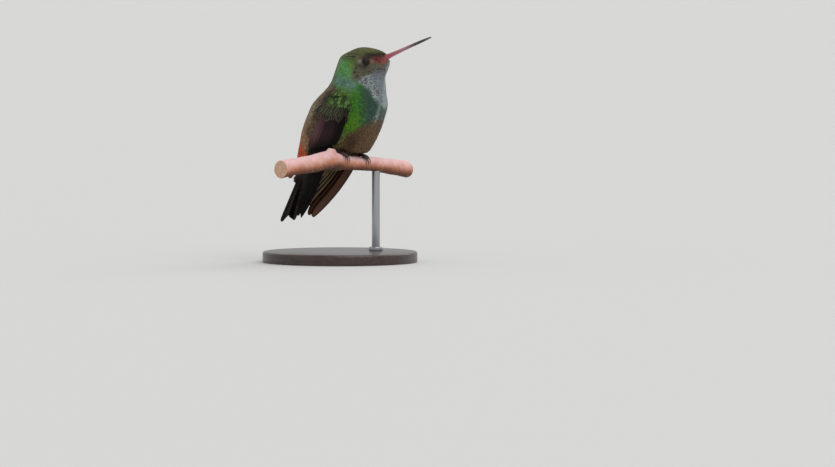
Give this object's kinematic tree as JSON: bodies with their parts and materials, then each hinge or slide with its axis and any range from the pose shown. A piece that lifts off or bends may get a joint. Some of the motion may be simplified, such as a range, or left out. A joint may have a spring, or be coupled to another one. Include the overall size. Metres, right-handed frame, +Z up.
{
  "type": "hummingbird figure on a perch",
  "caption": "Life-size rufous-tailed hummingbird with folded wings and a long straight red bill, gripping a short cut branch on a plain rod stand.",
  "frame": {"origin": "centre of the underside of the stand's base, so the model stands on the plane Z = 0", "axes": "+Z up, +X the way the bird's body faces, +Y the bird's left side"},
  "size_m": [0.0645, 0.0718, 0.0847],
  "materials": {
    "plumage": "soft overlapping contour feathers, bronze green to grey-brown with an iridescent sheen",
    "wing_coverts": "small overlapping feathers, dusky bronze green",
    "flight_feathers": "smooth dusky vanes with a faint purple sheen",
    "tail_feathers": "smooth dark chestnut vanes",
    "bill": "smooth horn, red at the base and blackish at the tip",
    "eye": "wet gloss",
    "foot_skin": "fine scaled skin",
    "claw": "smooth horn",
    "bark": "smooth pinkish-brown bark with small scars",
    "stand_wood": "dark satin stain",
    "stand_steel": "satin"
  },
  "bodies": {
    "root": {"head": "plumage", "neck": "plumage", "trunk_upper": "plumage", "trunk_lower": "plumage", "tail_coverts": "plumage", "tail": "tail_feathers", "bill_upper": "bill", "bill_lower": "bill", "eye_right": "eye", "wing_right_shoulder": "wing_coverts", "wing_right_secondaries": "flight_feathers", "wing_right_primaries": "flight_feathers", "leg_right": "foot_skin", "foot_right": "foot_skin", "claw_right_inner": "claw", "claw_right_middle": "claw", "claw_right_outer": "claw", "claw_right_hind": "claw", "eye_left": "eye", "wing_left_shoulder": "wing_coverts", "wing_left_secondaries": "flight_feathers", "wing_left_primaries": "flight_feathers", "leg_left": "foot_skin", "foot_left": "foot_skin", "claw_left_inner": "claw", "claw_left_middle": "claw", "claw_left_outer": "claw", "claw_left_hind": "claw", "perch": "bark", "stand_base": "stand_wood", "stand_rod": "stand_steel", "stand_collar": "stand_steel"}
  },
  "joints": []
}
